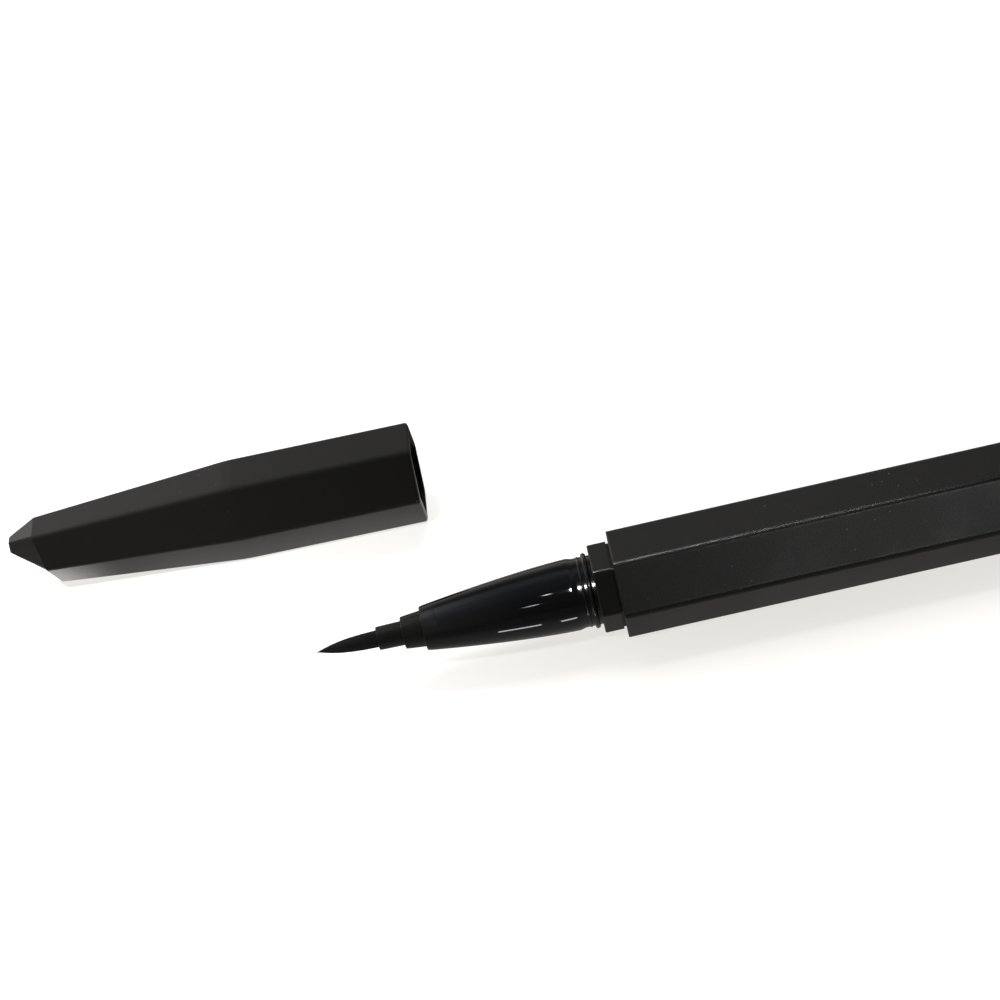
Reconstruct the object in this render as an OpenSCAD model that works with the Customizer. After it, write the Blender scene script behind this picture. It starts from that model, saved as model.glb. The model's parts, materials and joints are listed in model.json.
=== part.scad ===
// Liquid eyeliner pen with a fine brush nib, its cap taken off and laid beside it.
// Millimetres, Z up. The origin is the middle of the barrel's resting face, and +X
// runs along the pen to its tail. Along the pen, u is counted from the barrel's front
// shoulder: it grows towards the tail and is negative on the nose. In the cap, t is
// counted from the mouth to the tip, so with the cap on, t = -u.

/* [Barrel] */
// Width across the flats of barrel and cap
across_flats = 10; // [9.6:0.1:12]
// Length of the barrel with the head of its tail plug
barrel_len = 88; // [80:1:110]
// Rounding radius of the long edges
arris_r = 0.8; // [0.3:0.1:1.2]
// Wall between a flat and the bore
barrel_wall = 1.1; // [0.9:0.05:1.3]
// Chamfer on the end edges of barrel, collar and tail plug
edge_break = 0.15; // [0.05:0.05:0.3]
// Length of the tail plug's head
tail_head_len = 1.5; // [1:0.1:3]
// Length of the tail plug's spigot
tail_spigot_len = 7.7; // [6:0.1:10]

/* [Cap seat] */
// Length of the six-sided collar in front of the shoulder
neck_len = 2.25; // [1.8:0.05:4]
// Wall of the cap's socket at its flats
cap_wall = 0.8; // [0.7:0.05:0.95]
// Length of the collar's spigot in the barrel
collar_spigot_len = 7; // [5:0.5:9]
// Wall of the collar's spigot
collar_wall = 0.5; // [0.4:0.05:0.6]

/* [Front section] */
// Distance from the shoulder to the cone's front end
nose_len = 20.6; // [18:0.05:24]
// Radius at the cone's front end
cone_tip_r = 2.33; // [2.2:0.01:2.6]
// Gap between the widest part of the cone and the cap's bore
cone_play = 0.32; // [0.25:0.01:0.5]
// How round the cone bulges, 1 is a straight cone
cone_bulge = 1.5; // [1.2:0.1:2.6]
// Length of the shoulder, saddle and ring behind the cone
ring_zone_len = 2.5; // [2:0.1:3.5]
// Length of the section's spigot behind the shoulder
section_spigot_len = 11.5; // [10:0.1:16]
// Wall of the section's spigot
section_wall = 0.75; // [0.6:0.05:0.9]

/* [Nib] */
// How far the nib holder stands out of the cone
holder_out = 2.15; // [1.5:0.05:4]
// Radius of the nib holder
holder_r = 1.9; // [1.7:0.01:1.95]
// Radius of the nib holder at its front end
holder_tip_r = 1.7; // [1.5:0.01:1.75]
// How far the nib sleeve stands out of the holder
sleeve_out = 2.7; // [1.5:0.05:4]
// Radius of the nib sleeve
sleeve_r = 1.28; // [1.2:0.01:1.32]
// How far the brush stands out of the sleeve
nib_out = 6.45; // [5:0.05:9]
// Radius of the brush
nib_r = 0.9; // [0.85:0.01:0.95]
// Spacing of the brush's filaments
strand_pitch = 0.093; // [0.088:0.001:0.095]
// Radius of one filament
strand_r = 0.036; // [0.03:0.001:0.037]

/* [Ink feed] */
// Radius of the feed core
core_r = 0.5; // [0.4:0.05:0.6]
// Spacing of the collector's fins
fin_pitch = 0.6; // [0.5:0.05:1]
// Thickness of a fin
fin_t = 0.3; // [0.2:0.05:0.4]
// Radius of the collector's hub
hub_r = 1.05; // [0.95:0.05:1.4]
// Width of the capillary slit through the fins
slit_w = 0.2; // [0.15:0.05:0.4]
// Width of the air notch in the fins
notch_w = 0.9; // [0.6:0.1:1.4]

/* [Tank] */
// Wall of the ink tank
tank_wall = 0.5; // [0.4:0.05:0.7]
// Gap between tank and barrel
tank_gap = 0.3; // [0.1:0.05:0.4]
// Length of the tank's front plug inside the tank
front_plug_len = 4; // [3:0.1:6]
// Length of the tank's end plug inside the tank
end_plug_len = 4; // [3:0.1:6]
// Radius of the mixing ball
ball_r = 1.5; // [1:0.1:1.8]

/* [Cap] */
// Length of the cap's straight part
cap_straight_len = 20.8; // [19:0.1:24]
// How far the taper reaches past the tip of the brush
cap_over_nib = 10.7; // [9:0.1:16]
// Width across the flats where the taper ends
cap_break_flats = 6.9; // [6.5:0.1:8]
// Length of the point beyond the taper
cap_point_len = 3.9; // [3:0.1:6]
// Width across the flats of the point's end face
cap_end_flats = 1.85; // [1:0.05:3]
// How far the point lies above the cap's axis
cap_point_rise = 1.3; // [0:0.05:2]
// Lean of the edge between taper and point, as rise over run
cap_break_lean = 0.25; // [0:0.05:0.4]

/* [Inner cap] */
// How far the inner cap reaches over the cone
seal_reach = 9.15; // [7:0.05:10]
// Wall of the inner cap
inner_cap_wall = 0.65; // [0.5:0.05:0.7]
// Radius of the inner cap's narrow cavity
inner_narrow_r = 2; // [1.98:0.01:2.1]
// Travel of the inner cap against its spring
inner_cap_travel = 1.2; // [0.6:0.1:1.4]
// Length of the spring as fitted
spring_len = 8.9; // [8:0.1:9.5]
// Curls of the spring
spring_curls = 6; // [4:1:7]
// Radius of the spring wire
wire_r = 0.2; // [0.15:0.01:0.22]

/* [Layout] */
// Place of the cap's mouth along the pen, from the origin
cap_x = -62.8; // [-90:0.1:-50]
// Place of the cap's mouth beside the pen
cap_y = 28; // [20:0.1:60]
// Turn of the cap on the table
cap_yaw = -1.7; // [-6:0.1:6]

/* [Hidden] */
$fn = 96;

// Static seats, sliding seats, overruns of cuts and the step between flat and bore
fit_gap = 0.05;
slide_gap = 0.1;
over = 1;
bore_step = 0.1;

// Colours
satin_black = [0.13, 0.13, 0.13];
gloss_black = [0.04, 0.04, 0.045];
nib_black = [0.08, 0.08, 0.08];
clear_grey = [0.7, 0.74, 0.76];
felt_white = [0.9, 0.9, 0.86];
seal_grey = [0.35, 0.36, 0.38];
steel = [0.72, 0.73, 0.75];

// Barrel and tail
barrel_bore_r = across_flats / 2 - barrel_wall;
barrel_tube_len = barrel_len - tail_head_len;
tail_wall = 1;
tail_spigot_r = barrel_bore_r - fit_gap;
tail_front = barrel_tube_len - tail_spigot_len;

// Collar: its front is the cap's seat, with a narrow relief at the shoulder
socket_gap = 0.1;
neck_flats = across_flats - 2 * cap_wall - 2 * socket_gap;
neck_arris_r = 0.5;
relief_len = 0.25;
relief_depth = 0.2;
collar_spigot_r = barrel_bore_r - fit_gap;
collar_bore_r = collar_spigot_r - collar_wall;

// Front section, from the shoulder ring forward
section_spigot_r = collar_bore_r - fit_gap;
section_bore_r = section_spigot_r - section_wall;
socket_flats = neck_flats + 2 * socket_gap;
cap_bore_r = socket_flats / 2 - bore_step;
cone_r = cap_bore_r - cone_play;
u_cone_tip = -nose_len;
u_shoulder = -neck_len - ring_zone_len;
cone_steps = 14;
lip_len = 1.6;
lip_groove = 0.04;
holder_grip = 7.95;
u_seat = u_cone_tip + holder_grip;
// Along the zone from the cone's shoulder to the neck, and its radius over cone_r
ring_zone_shares = [
    [0, 1], [0.12, 0.992], [0.27, 0.966], [0.38, 0.964], [0.6, 0.968],
    [0.7, 1.034], [0.83, 1.034], [0.88, 0.964], [1, 0.964]
];
bead_share = 0.5;
bead_r = 0.12;
rim_share = 0.765;
rim_r = 0.13;

// O-rings: cord radius and the play in their grooves
seal_cord_r = 0.2;
seal_play = 0.03;
groove_len = 2 * seal_cord_r + 2 * seal_play;
section_seal_u = 3.2;
section_groove_r = section_spigot_r + fit_gap - 2 * seal_cord_r - 2 * seal_play;

// Nib group
u_holder_tip = u_cone_tip - holder_out;
u_sleeve_tip = u_holder_tip - sleeve_out;
u_nib_tip = u_sleeve_tip - nib_out;
holder_flange_t = 0.6;
tip_round = 0.12;
sleeve_grip = 5.6;
u_sleeve_seat = u_holder_tip + sleeve_grip;
sleeve_tip_r = sleeve_r - 0.4 * tip_round;
nib_grip = 6.4;
u_nib_root = u_sleeve_tip + nib_grip;
nib_backing_out = 0.15;
core_plug_len = 1.4;
strand_root = 0.1;
strand_point_len = 1.2;
strand_gather = 0.15;
nib_curve = 3;

// Feed core, collector and tank
u_collector_front = u_seat + holder_flange_t + fit_gap;
collector_disc_t = 0.45;
collector_bore_r = core_r + fit_gap;
fin_r = section_bore_r - fit_gap;
tank_r = barrel_bore_r - tank_gap;
tank_bore_r = tank_r - tank_wall;
plug_r = tank_bore_r - fit_gap;
plug_flange_t = 0.6;
u_tank_front = section_spigot_len + plug_flange_t;
u_tank_end = tail_front - plug_flange_t;
plug_hollow_r = plug_r - 1;
plug_hollow_len = 1.6;
plug_seal_inset = 1.5;
core_past_plug = 1.4;
u_core_end = u_tank_front + front_plug_len + core_past_plug;
ball_gap = 0.1;
ball_u = u_core_end + 2 * ball_r;
ball_drop = tank_bore_r - ball_r - ball_gap;

// Cap: outer form and the steps of its bore
cap_break_z = -u_nib_tip + cap_over_nib;
cap_len = cap_break_z + cap_point_len;
cap_slope = (across_flats - cap_break_flats) / (cap_break_z - cap_straight_len);
rim_break = 0.3;
crease_len = 0.5;
end_round = 0.15;
socket_len = neck_len + 6 * socket_gap;
arc_steps = 5;

// Inner cap, its gasket, retainer and spring, as t from the cap's mouth
inner_cap_r = cap_bore_r - slide_gap;
inner_wide_r = inner_cap_r - inner_cap_wall;
t_inner_mouth = nose_len - seal_reach;
cone_clear = 0.65;
t_inner_floor = nose_len + cone_clear;
t_inner_shoulder = t_inner_floor + inner_cap_wall;
narrow_wall = 0.5;
inner_neck_r = inner_narrow_r + narrow_wall;
nib_clear = 2.3;
t_narrow_floor = -u_nib_tip + nib_clear;
t_inner_end = t_narrow_floor + inner_cap_wall;
gasket_wall = 0.35;
gasket_len = 1.6;
gasket_inset = 0.2;
gasket_r = inner_cap_r - 0.5 * inner_cap_wall;
retainer_len = 1.2;
retainer_wall = 0.5;
travel_spare = 0.2;
t_bore_step = t_inner_shoulder + inner_cap_travel + travel_spare;
t_spring_seat = t_inner_shoulder + spring_len;
t_bore_end = t_inner_end + inner_cap_travel + 2 * travel_spare;
spring_play = 0.15;
spring_mean_r = inner_neck_r + 1.25 * wire_r + 2 * slide_gap;
spring_bore_r = spring_mean_r + wire_r + 2 * slide_gap;
cap_neck_bore_r = inner_neck_r + slide_gap;
rings_per_curl = 8;
wire_sides = 6;

// Point at angle a and radius r in the plane
function polar(r, a) = [r * cos(a), r * sin(a)];

// Distance of a sharp hexagon's corners from its middle, w across the flats
function hex_corner(w) = w / sqrt(3);

// Distance of the rounding centres of a hexagon from its middle
function arris_centre(w, r) = hex_corner(w - 2 * r);

// Tangent points of a hexagon whose corners are rounded: flats face +x and -x
function hex_tangents(w, r) = [
    for (k = [0:5]) for (s = [-1, 1])
        polar(arris_centre(w, r), 30 + 60 * k) + polar(r, 30 + 60 * k + 30 * s)
];

// The same hexagon as one closed outline of points, w across the flats
function hex_ring(w, r) = [
    for (k = [0:5]) for (i = [0:arc_steps])
        polar(arris_centre(w, r), 30 + 60 * k) + polar(r, 60 * k + 60 * i / arc_steps)
];

module rounded_hex(w, r) {
    polygon(hex_tangents(w, r));
    for (k = [0:5])
        translate(polar(arris_centre(w, r), 30 + 60 * k))
            circle(r);
}

module hex_bar(w, r, z0, z1) {
    translate([0, 0, z0])
        linear_extrude(z1 - z0)
            rounded_hex(w, r);
}

// Six cuts that chamfer the end edges of a hexagonal bar at height z
module hex_chamfer(w, z) {
    side = edge_break * sqrt(2);
    for (k = [0:5])
        rotate(60 * k)
            translate([w / 2, 0, z])
                rotate([0, 45, 0])
                    cube([side, w, side], center = true);
}

module tube_cut(r, z0, z1) {
    translate([0, 0, z0])
        cylinder(r = r, h = z1 - z0);
}

module ring(r_in, r_out, z0, z1) {
    translate([0, 0, z0])
        difference() {
            cylinder(r = r_out, h = z1 - z0);
            translate([0, 0, -over])
                cylinder(r = r_in, h = z1 - z0 + 2 * over);
        }
}

// O-ring of the standard cord, bottomed at groove_r with its play
module o_ring(groove_r, z) {
    translate([0, 0, z])
        rotate_extrude()
            translate([groove_r + seal_play + seal_cord_r, 0])
                circle(seal_cord_r, $fn = 32);
}

module seal_groove(groove_r, z) {
    translate([0, 0, z - groove_len / 2])
        difference() {
            cylinder(r = across_flats / 2 - edge_break, h = groove_len);
            translate([0, 0, -over])
                cylinder(r = groove_r, h = groove_len + 2 * over);
        }
}

// The pen lies on a flat: u runs along +X and local x points down
module in_pen() {
    translate([-barrel_len / 2, 0, across_flats / 2])
        rotate([0, 90, 0])
            children();
}

// The cap lies on a flat: t runs towards -X and local x points up
module in_cap() {
    translate([cap_x, cap_y, across_flats / 2])
        rotate([0, 0, cap_yaw])
            rotate([0, -90, 0])
                children();
}

module barrel() {
    color(satin_black)
        in_pen()
            difference() {
                hex_bar(across_flats, arris_r, 0, barrel_tube_len);
                tube_cut(barrel_bore_r, -over, barrel_tube_len + over);
                hex_chamfer(across_flats, 0);
                hex_chamfer(across_flats, barrel_tube_len);
            }
}

module cap_seat_collar() {
    color(satin_black)
        in_pen()
            difference() {
                union() {
                    hex_bar(neck_flats, neck_arris_r, -neck_len, -relief_len);
                    hex_bar(neck_flats - 2 * relief_depth, neck_arris_r, -neck_len / 2, 0);
                    tube_cut(collar_spigot_r, -relief_len, collar_spigot_len);
                }
                tube_cut(collar_bore_r, -neck_len - over, collar_spigot_len + over);
                hex_chamfer(neck_flats, -neck_len);
            }
}

// Radius of the cone at share s of its length from the front end
function cone_radius(s) = cone_tip_r + (cone_r - cone_tip_r) * (1 - pow(1 - s, cone_bulge));

cone_len = u_shoulder - u_cone_tip;
lip_share = lip_len / cone_len;
section_outline = concat(
    [[0, u_cone_tip], [cone_tip_r - tip_round, u_cone_tip], [cone_tip_r, u_cone_tip + tip_round]],
    [[cone_radius(lip_share) - lip_groove, u_cone_tip + lip_len]],
    [for (i = [0:cone_steps - 1])
        let (s = lip_share + (1 - lip_share) * (i + 0.2) / cone_steps)
            [cone_radius(s), u_cone_tip + s * cone_len]],
    [for (p = ring_zone_shares) [cone_r * p.y, u_shoulder + p.x * ring_zone_len]],
    [[section_spigot_r, -neck_len], [section_spigot_r, section_spigot_len], [0, section_spigot_len]]
);

module front_section() {
    color(gloss_black)
        in_pen()
            difference() {
                rotate_extrude() {
                    polygon(section_outline);
                    translate([cone_r * ring_zone_shares[4].y - bead_r / 2, u_shoulder + bead_share * ring_zone_len])
                        circle(bead_r, $fn = 32);
                    translate([cone_r * ring_zone_shares[5].y - bead_r / 2, u_shoulder + rim_share * ring_zone_len])
                        circle(rim_r, $fn = 32);
                }
                tube_cut(holder_r + fit_gap, u_cone_tip - over, u_seat + over);
                tube_cut(section_bore_r, u_seat, section_spigot_len + over);
                seal_groove(section_groove_r, section_seal_u);
            }
}

module section_seal_ring() {
    color(seal_grey)
        in_pen()
            o_ring(section_groove_r, section_seal_u);
}

module nib_holder() {
    color(gloss_black)
        in_pen()
            difference() {
                rotate_extrude()
                    polygon([
                        [0, u_holder_tip],
                        [holder_tip_r - tip_round, u_holder_tip],
                        [holder_tip_r, u_holder_tip + tip_round],
                        [holder_r, u_cone_tip - tip_round],
                        [holder_r, u_seat],
                        [section_bore_r - fit_gap, u_seat],
                        [section_bore_r - fit_gap, u_seat + holder_flange_t],
                        [0, u_seat + holder_flange_t]
                    ]);
                tube_cut(sleeve_r + fit_gap / 2, u_holder_tip - over, u_sleeve_seat);
                tube_cut(collector_bore_r, u_sleeve_seat - over, u_seat + holder_flange_t + over);
            }
}

module nib_sleeve() {
    color(nib_black)
        in_pen()
            difference() {
                rotate_extrude()
                    polygon([
                        [0, u_sleeve_tip],
                        [sleeve_tip_r - tip_round, u_sleeve_tip],
                        [sleeve_tip_r, u_sleeve_tip + tip_round],
                        [sleeve_r, u_holder_tip],
                        [sleeve_r, u_sleeve_seat],
                        [0, u_sleeve_seat]
                    ]);
                tube_cut(nib_r + fit_gap / 2, u_sleeve_tip - over, u_sleeve_seat + over);
            }
}

// Filaments stand on a triangular lattice inside the brush's circle
lattice_half = ceil(nib_r / strand_pitch) + 1;
strand_feet = [
    for (j = [-lattice_half:lattice_half]) for (i = [-lattice_half:lattice_half])
        let (p = strand_pitch * [i + 0.5 * (abs(j) % 2), j * sin(60)])
            if (norm(p) <= nib_r - strand_r) p
];

// Height at which a filament ends, so that the ends draw one pointed outline
function strand_height(p) = nib_out * pow(1 - norm(p) / nib_r, 1 / nib_curve);

// All filaments lean towards one far point, so none can cross another
function strand_at(p, h) = p * (1 - strand_gather * h / nib_out);

function strand_points(p) =
    let (
        top = strand_height(p),
        shoulder = top - min(strand_point_len, top / 2),
        root = nib_backing_out - strand_root
    )
    concat(
        [for (k = [0:2]) let (q = strand_at(p, root) + polar(strand_r, 120 * k)) [q.x, q.y, root]],
        [for (k = [0:2]) let (q = strand_at(p, shoulder) + polar(strand_r, 120 * k)) [q.x, q.y, shoulder]],
        [concat(strand_at(p, top), [top])]
    );

strand_faces = concat(
    [[0, 1, 2]],
    [for (k = [0:2]) let (n = (k + 1) % 3) [k, k + 3, n + 3]],
    [for (k = [0:2]) let (n = (k + 1) % 3) [k, n + 3, n]],
    [for (k = [0:2]) let (n = (k + 1) % 3) [k + 3, 6, n + 3]]
);
strand_corners = 7;
echo(filaments = len(strand_feet));

module brush_strands() {
    polyhedron(
        points = [for (p = strand_feet) each strand_points(p)],
        faces = [for (i = [0:len(strand_feet) - 1]) for (f = strand_faces) [for (v = f) v + strand_corners * i]]
    );
}

module brush_nib() {
    color(nib_black)
        in_pen() {
            difference() {
                tube_cut(nib_r, u_sleeve_tip - nib_backing_out, u_nib_root);
                tube_cut(core_r + fit_gap / 2, u_nib_root - core_plug_len, u_nib_root + over);
            }
            translate([0, 0, u_sleeve_tip])
                rotate([180, 0, 0])
                    brush_strands();
        }
}

module feed_core() {
    color(felt_white)
        in_pen()
            tube_cut(core_r, u_nib_root - core_plug_len + fit_gap, u_core_end);
}

// The comb is one revolved outline: a fin every fin_pitch along the hub
comb_len = section_spigot_len - u_collector_front - 2 * collector_disc_t;
fin_count = floor((comb_len - fin_t) / fin_pitch);
first_fin = (comb_len - (fin_count - 1) * fin_pitch - fin_t) / 2;
comb_outline = concat(
    [[0, 0], [fin_r, 0], [fin_r, collector_disc_t], [hub_r, collector_disc_t]],
    [for (i = [0:fin_count - 1])
        let (z = collector_disc_t + first_fin + i * fin_pitch)
            each [[hub_r, z], [fin_r, z], [fin_r, z + fin_t], [hub_r, z + fin_t]]],
    [[hub_r, collector_disc_t + comb_len], [fin_r, collector_disc_t + comb_len]],
    [[fin_r, comb_len + 2 * collector_disc_t], [0, comb_len + 2 * collector_disc_t]]
);
notch_depth = (fin_r - hub_r) / 2;

module collector() {
    color(felt_white)
        in_pen()
            translate([0, 0, u_collector_front])
                difference() {
                    rotate_extrude()
                        polygon(comb_outline);
                    tube_cut(collector_bore_r, -over, comb_len + 2 * collector_disc_t + over);
                    translate([0, -slit_w / 2, collector_disc_t])
                        cube([fin_r + over, slit_w, comb_len]);
                    translate([-fin_r - over, -notch_w / 2, collector_disc_t])
                        cube([over + notch_depth, notch_w, comb_len]);
                }
}

module tank_front_plug() {
    color(clear_grey)
        in_pen()
            difference() {
                union() {
                    tube_cut(tank_r, section_spigot_len, u_tank_front);
                    tube_cut(plug_r, section_spigot_len, u_tank_front + front_plug_len);
                }
                tube_cut(collector_bore_r, section_spigot_len - over, u_tank_front + front_plug_len + over);
                ring(
                    2 * core_r, plug_hollow_r,
                    u_tank_front + front_plug_len - plug_hollow_len, u_tank_front + front_plug_len + over
                );
                seal_groove(tank_groove_r, u_tank_front + plug_seal_inset);
            }
}

tank_groove_r = plug_r + fit_gap - 2 * seal_cord_r - 2 * seal_play;
tail_groove_r = tail_spigot_r + fit_gap - 2 * seal_cord_r - 2 * seal_play;
tail_seal_u = tail_front + plug_seal_inset + seal_cord_r;

module tank_seal_ring() {
    color(seal_grey)
        in_pen()
            o_ring(tank_groove_r, u_tank_front + plug_seal_inset);
}

module ink_tank() {
    color(clear_grey)
        in_pen()
            ring(tank_bore_r, tank_r, u_tank_front, u_tank_end);
}

module tank_end_plug() {
    color(clear_grey)
        in_pen()
            difference() {
                union() {
                    tube_cut(tank_r, u_tank_end, tail_front);
                    tube_cut(plug_r, u_tank_end - end_plug_len, tail_front);
                }
                tube_cut(plug_hollow_r, tail_front - end_plug_len + plug_flange_t, tail_front + over);
            }
}

module tail_plug() {
    color(satin_black)
        in_pen()
            difference() {
                union() {
                    tube_cut(tail_spigot_r, tail_front, barrel_tube_len);
                    hex_bar(across_flats, arris_r, barrel_tube_len, barrel_len);
                }
                tube_cut(tail_spigot_r - tail_wall, tail_front - over, barrel_tube_len - tail_wall);
                seal_groove(tail_groove_r, tail_seal_u);
                hex_chamfer(across_flats, barrel_len);
            }
}

module tail_seal_ring() {
    color(seal_grey)
        in_pen()
            o_ring(tail_groove_r, tail_seal_u);
}

module mixing_ball() {
    color(steel)
        in_pen()
            translate([ball_drop, 0, ball_u])
                sphere(ball_r);
}

// Width across the flats at t on the cap, without its point
function cap_width(t) = across_flats - cap_slope * max(0, t - cap_straight_len);

// Outline one unit across the flats: the arris keeps its share of the width
unit_ring = hex_ring(1, arris_r / across_flats);

function flat_ring(w, z, rise = 0) = [for (p = unit_ring) [w * p.x + rise, w * p.y, z]];

// Cut of the taper by a plane that leans back towards the top of the cap
function leaning_ring(z) = [
    for (p = unit_ring)
        let (w = cap_width(z) / (1 + p.x * cap_slope * cap_break_lean))
            [w * p.x, w * p.y, z + cap_break_lean * w * p.x]
];

cap_rings = [
    flat_ring(across_flats - 2 * rim_break, 0),
    flat_ring(across_flats - rim_break / 2, rim_break / 3),
    flat_ring(across_flats, rim_break),
    flat_ring(across_flats, cap_straight_len - crease_len),
    flat_ring(cap_width(cap_straight_len + crease_len), cap_straight_len + crease_len),
    leaning_ring(cap_break_z),
    flat_ring(cap_end_flats + 2 * end_round, cap_len - end_round, cap_point_rise),
    flat_ring(cap_end_flats, cap_len, cap_point_rise)
];

// Skin over a stack of rings that all have the same number of points
module loft(rings) {
    n = len(rings[0]);
    m = len(rings);
    polyhedron(
        points = [for (r = rings) each r],
        faces = concat(
            [[for (i = [0:n - 1]) i]],
            [for (j = [0:m - 2]) for (i = [0:n - 1]) [j * n + i, (j + 1) * n + i, j * n + (i + 1) % n]],
            [for (j = [0:m - 2]) for (i = [0:n - 1])
                [j * n + (i + 1) % n, (j + 1) * n + i, (j + 1) * n + (i + 1) % n]],
            [[for (i = [n - 1:-1:0]) (m - 1) * n + i]]
        )
    );
}

module cap_shell() {
    color(satin_black)
        in_cap()
            difference() {
                loft(cap_rings);
                translate([0, 0, -over])
                    linear_extrude(socket_len + over)
                        rotate(30)
                            circle(r = hex_corner(socket_flats), $fn = 6);
                tube_cut(cap_bore_r, -over, t_bore_step);
                tube_cut(spring_bore_r, t_bore_step - over, t_spring_seat);
                tube_cut(cap_neck_bore_r, t_spring_seat - over, t_bore_end);
            }
}

module cap_retainer() {
    color(satin_black)
        in_cap()
            ring(
                cap_bore_r - retainer_wall, cap_bore_r - fit_gap / 2,
                t_inner_mouth - slide_gap - retainer_len, t_inner_mouth - slide_gap
            );
}

module inner_cap() {
    color(clear_grey)
        in_cap()
            difference() {
                union() {
                    tube_cut(inner_cap_r, t_inner_mouth, t_inner_shoulder);
                    tube_cut(inner_neck_r, t_inner_mouth, t_inner_end);
                }
                tube_cut(gasket_r + fit_gap / 2, t_inner_mouth - over, t_inner_mouth + gasket_inset + gasket_len);
                tube_cut(inner_wide_r, t_inner_mouth - over, t_inner_floor);
                tube_cut(inner_narrow_r, t_inner_mouth - over, t_narrow_floor);
            }
}

module inner_cap_gasket() {
    color(seal_grey)
        in_cap()
            ring(
                gasket_r - gasket_wall, gasket_r,
                t_inner_mouth + gasket_inset, t_inner_mouth + gasket_inset + gasket_len
            );
}

// Spring: one tube swept along a helix between the inner cap and the shell's step
spring_from = t_inner_shoulder + wire_r + spring_play;
spring_to = t_spring_seat - wire_r - spring_play;
spring_rise = (spring_to - spring_from) / spring_curls;
spring_rings = spring_curls * rings_per_curl;
spring_lead = atan(spring_rise / (2 * PI * spring_mean_r));

function spring_centre(i) =
    concat(polar(spring_mean_r, 360 * i / rings_per_curl), [spring_from + spring_rise * i / rings_per_curl]);

// Ring of the wire: k turns round the wire, square to its run
function spring_ring(i) =
    let (
        a = 360 * i / rings_per_curl,
        outward = [cos(a), sin(a), 0],
        across = [sin(a) * sin(spring_lead), -cos(a) * sin(spring_lead), cos(spring_lead)]
    )
    [for (k = [0:wire_sides - 1])
        spring_centre(i) + wire_r * (cos(360 * k / wire_sides) * outward + sin(360 * k / wire_sides) * across)];

spring_gap = min([
    for (i = [0:spring_rings]) for (j = [i + rings_per_curl / 2:spring_rings])
        norm(spring_centre(i) - spring_centre(j))
]) - 2 * wire_r;
echo(spring_least_gap = spring_gap);

module cap_spring() {
    color(steel)
        in_cap()
            loft([for (i = [0:spring_rings]) spring_ring(i)]);
}

barrel();
cap_seat_collar();
section_seal_ring();
front_section();
nib_holder();
nib_sleeve();
brush_nib();
feed_core();
collector();
tank_front_plug();
tank_seal_ring();
ink_tank();
tank_end_plug();
tail_plug();
tail_seal_ring();
mixing_ball();
cap_shell();
cap_retainer();
inner_cap();
inner_cap_gasket();
cap_spring();
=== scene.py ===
# %% [markdown]
# A liquid eyeliner pen lies on a white table, with its cap taken off beside it.
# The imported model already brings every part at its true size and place. This lesson
# finishes what the eye meets: satin barrel and cap, the polished cone, the brush of
# fine filaments, the steel spring, and the light that makes black plastic readable.

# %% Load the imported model
import json
import math

import bpy
from mathutils import Matrix, Vector


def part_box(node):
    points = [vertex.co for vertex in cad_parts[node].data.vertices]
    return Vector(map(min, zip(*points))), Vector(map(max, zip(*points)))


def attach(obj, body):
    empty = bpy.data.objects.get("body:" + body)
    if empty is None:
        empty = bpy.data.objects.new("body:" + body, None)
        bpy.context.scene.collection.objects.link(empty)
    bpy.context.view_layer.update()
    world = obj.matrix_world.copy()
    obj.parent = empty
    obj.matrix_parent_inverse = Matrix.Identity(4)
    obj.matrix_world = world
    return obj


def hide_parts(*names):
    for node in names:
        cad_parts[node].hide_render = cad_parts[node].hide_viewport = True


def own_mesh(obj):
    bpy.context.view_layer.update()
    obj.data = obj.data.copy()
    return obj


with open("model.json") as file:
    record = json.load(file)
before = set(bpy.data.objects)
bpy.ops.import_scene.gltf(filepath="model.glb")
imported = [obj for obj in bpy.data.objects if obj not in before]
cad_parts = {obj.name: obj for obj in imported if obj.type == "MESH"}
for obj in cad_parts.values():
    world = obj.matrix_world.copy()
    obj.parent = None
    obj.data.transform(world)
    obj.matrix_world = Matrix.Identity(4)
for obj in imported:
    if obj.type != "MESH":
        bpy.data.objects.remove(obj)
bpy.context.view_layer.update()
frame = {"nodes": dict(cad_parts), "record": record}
MM = 0.001

# %% [markdown]
# Everything along the pen is counted from the barrel's front shoulder, as a maker
# would do: u grows towards the tail and is negative on the nose. The cap has its own
# line, counted from its mouth to its tip. Both lines lie half a barrel's width above
# the table; that height and the shoulder come from the barrel's box, and the cap's
# mouth and turn are given.

# %% The two axes
barrel_low, barrel_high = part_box("barrel")
SHOULDER_X = barrel_low.x
AXIS_Z = (barrel_low.z + barrel_high.z) / 2

CAP_YAW = math.radians(-1.7)
CAP_MOUTH = Vector((-62.8, 28.0, 0)) * MM + Vector((0, 0, AXIS_Z))
CAP_AXIS = Vector((-math.cos(CAP_YAW), -math.sin(CAP_YAW), 0))


def along_pen(u):
    """Place on the pen's axis, u in millimetres from the shoulder."""
    return Vector((SHOULDER_X + u * MM, 0, AXIS_Z))


def along_cap(t):
    """Place on the cap's axis, t in millimetres from the mouth."""
    return CAP_MOUTH + CAP_AXIS * t * MM


print("shoulder at x = %.1f mm, axis %.1f mm above the table" % (SHOULDER_X / MM, AXIS_Z / MM))

# %% [markdown]
# The camera stands where the photographer stood. Its place, tilt and lens were worked
# out from the corners and edges of barrel and cap, so they are real distances: 30 cm
# away, looking down by 36 degrees, and rolled by 14 degrees, which sets the pen aslant.

# %% Camera
CAMERA_PLACE = Vector((-45.624, -230.071, 183.971)) * MM
CAMERA_HEADING = math.radians(-2.001)
CAMERA_DIP = math.radians(35.658)
CAMERA_ROLL = math.radians(-13.954)
CAMERA_LENS = 101.32


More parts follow.
